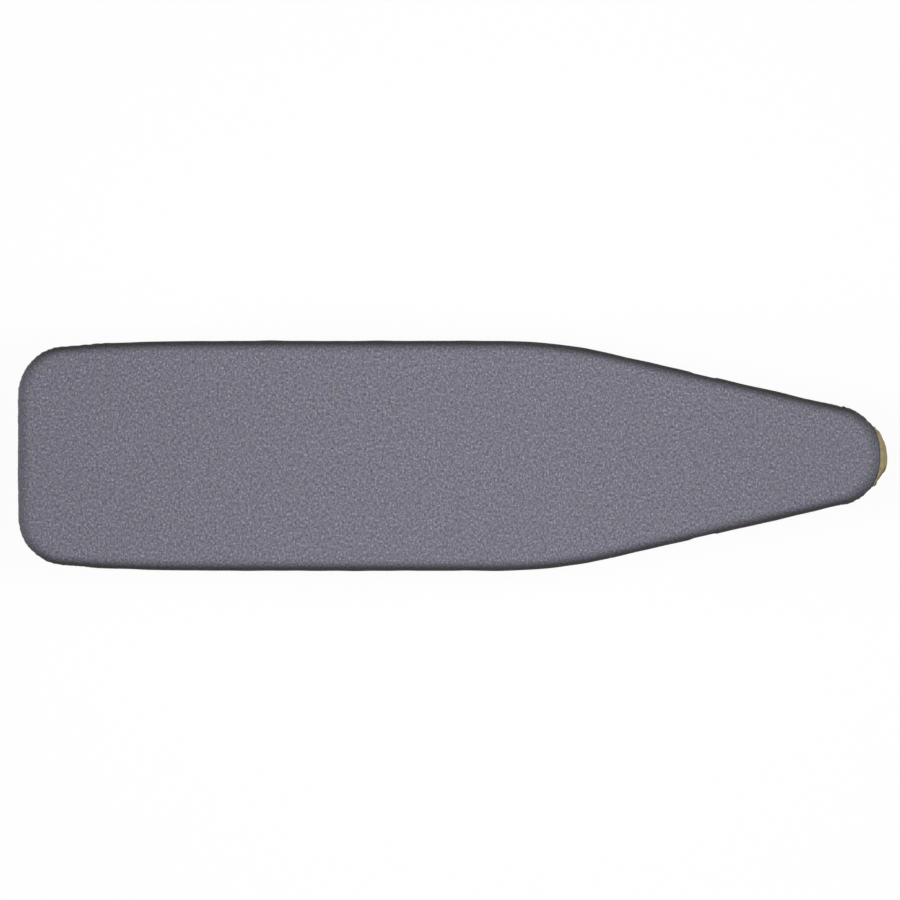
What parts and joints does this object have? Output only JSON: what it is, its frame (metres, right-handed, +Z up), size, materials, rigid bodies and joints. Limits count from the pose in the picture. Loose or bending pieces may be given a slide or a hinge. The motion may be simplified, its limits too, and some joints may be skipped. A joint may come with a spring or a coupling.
{
  "type": "ironing board cover",
  "caption": "Padded ironing board cover in its fitted shape: stretched heather face over foam and felt, gathered elastic hem, nose pocket and hook-and-loop straps underneath.",
  "frame": {"origin": "centre of the bounding box in plan, at the lowest face, which is the underside of the straps", "axes": "+X along the board from the square end to the nose, +Z up out of the ironing face, +Y to the side of the short straps"},
  "size_m": [1.3904, 0.367, 0.0424],
  "materials": {
    "heather_cloth": "matt woven cloth, charcoal heather with fine pale and dark flecks",
    "foam": "open-cell foam",
    "felt": "needled felt",
    "tan_twill": "plain tan twill",
    "elastic": "covered elastic cord",
    "webbing": "dark elastic webbing",
    "hook_tape": "hook side of hook-and-loop tape",
    "loop_tape": "loop side of hook-and-loop tape"
  },
  "bodies": {
    "cover": {"face_cover": "heather_cloth", "foam_layer": "foam", "felt_pad": "felt", "hem_casing": "tan_twill", "hem_elastic": "elastic", "nose_pocket": "tan_twill", "rear_long_strap_end": "webbing", "rear_short_strap_end": "webbing", "middle_long_strap_end": "webbing", "middle_short_strap_end": "webbing", "front_long_strap_end": "webbing", "front_short_strap_end": "webbing"},
    "rear_long_strap": {"rear_long_strap": "webbing", "rear_hook_patch": "hook_tape"},
    "rear_short_strap": {"rear_short_strap": "webbing", "rear_loop_patch": "loop_tape"},
    "middle_long_strap": {"middle_long_strap": "webbing", "middle_hook_patch": "hook_tape"},
    "middle_short_strap": {"middle_short_strap": "webbing", "middle_loop_patch": "loop_tape"},
    "front_long_strap": {"front_long_strap": "webbing", "front_hook_patch": "hook_tape"},
    "front_short_strap": {"front_short_strap": "webbing", "front_loop_patch": "loop_tape"}
  },
  "joints": [
    {"name": "rear_long_strap_swing", "type": "hinge", "parent": "cover", "child": "rear_long_strap", "pos_m": [-0.45525, -0.13277, 0], "axis": [-1, 0, 0], "range_deg": [0, 150]},
    {"name": "rear_short_strap_swing", "type": "hinge", "parent": "cover", "child": "rear_short_strap", "pos_m": [-0.45525, 0.13277, 0], "axis": [1, 0, 0], "range_deg": [0, 150]},
    {"name": "middle_long_strap_swing", "type": "hinge", "parent": "cover", "child": "middle_long_strap", "pos_m": [-0.02725, -0.1336, 0], "axis": [-1, 0, 0], "range_deg": [0, 150]},
    {"name": "middle_short_strap_swing", "type": "hinge", "parent": "cover", "child": "middle_short_strap", "pos_m": [-0.02725, 0.1336, 0], "axis": [1, 0, 0], "range_deg": [0, 150]},
    {"name": "front_long_strap_swing", "type": "hinge", "parent": "cover", "child": "front_long_strap", "pos_m": [0.40075, -0.07348, 0], "axis": [-1, 0, 0], "range_deg": [0, 150]},
    {"name": "front_short_strap_swing", "type": "hinge", "parent": "cover", "child": "front_short_strap", "pos_m": [0.40075, 0.07348, 0], "axis": [1, 0, 0], "range_deg": [0, 150]}
  ],
  "couplings": [
    {"joint": "rear_short_strap_swing", "follows": "rear_long_strap_swing", "ratio": 1},
    {"joint": "middle_short_strap_swing", "follows": "middle_long_strap_swing", "ratio": 1},
    {"joint": "front_short_strap_swing", "follows": "front_long_strap_swing", "ratio": 1}
  ]
}
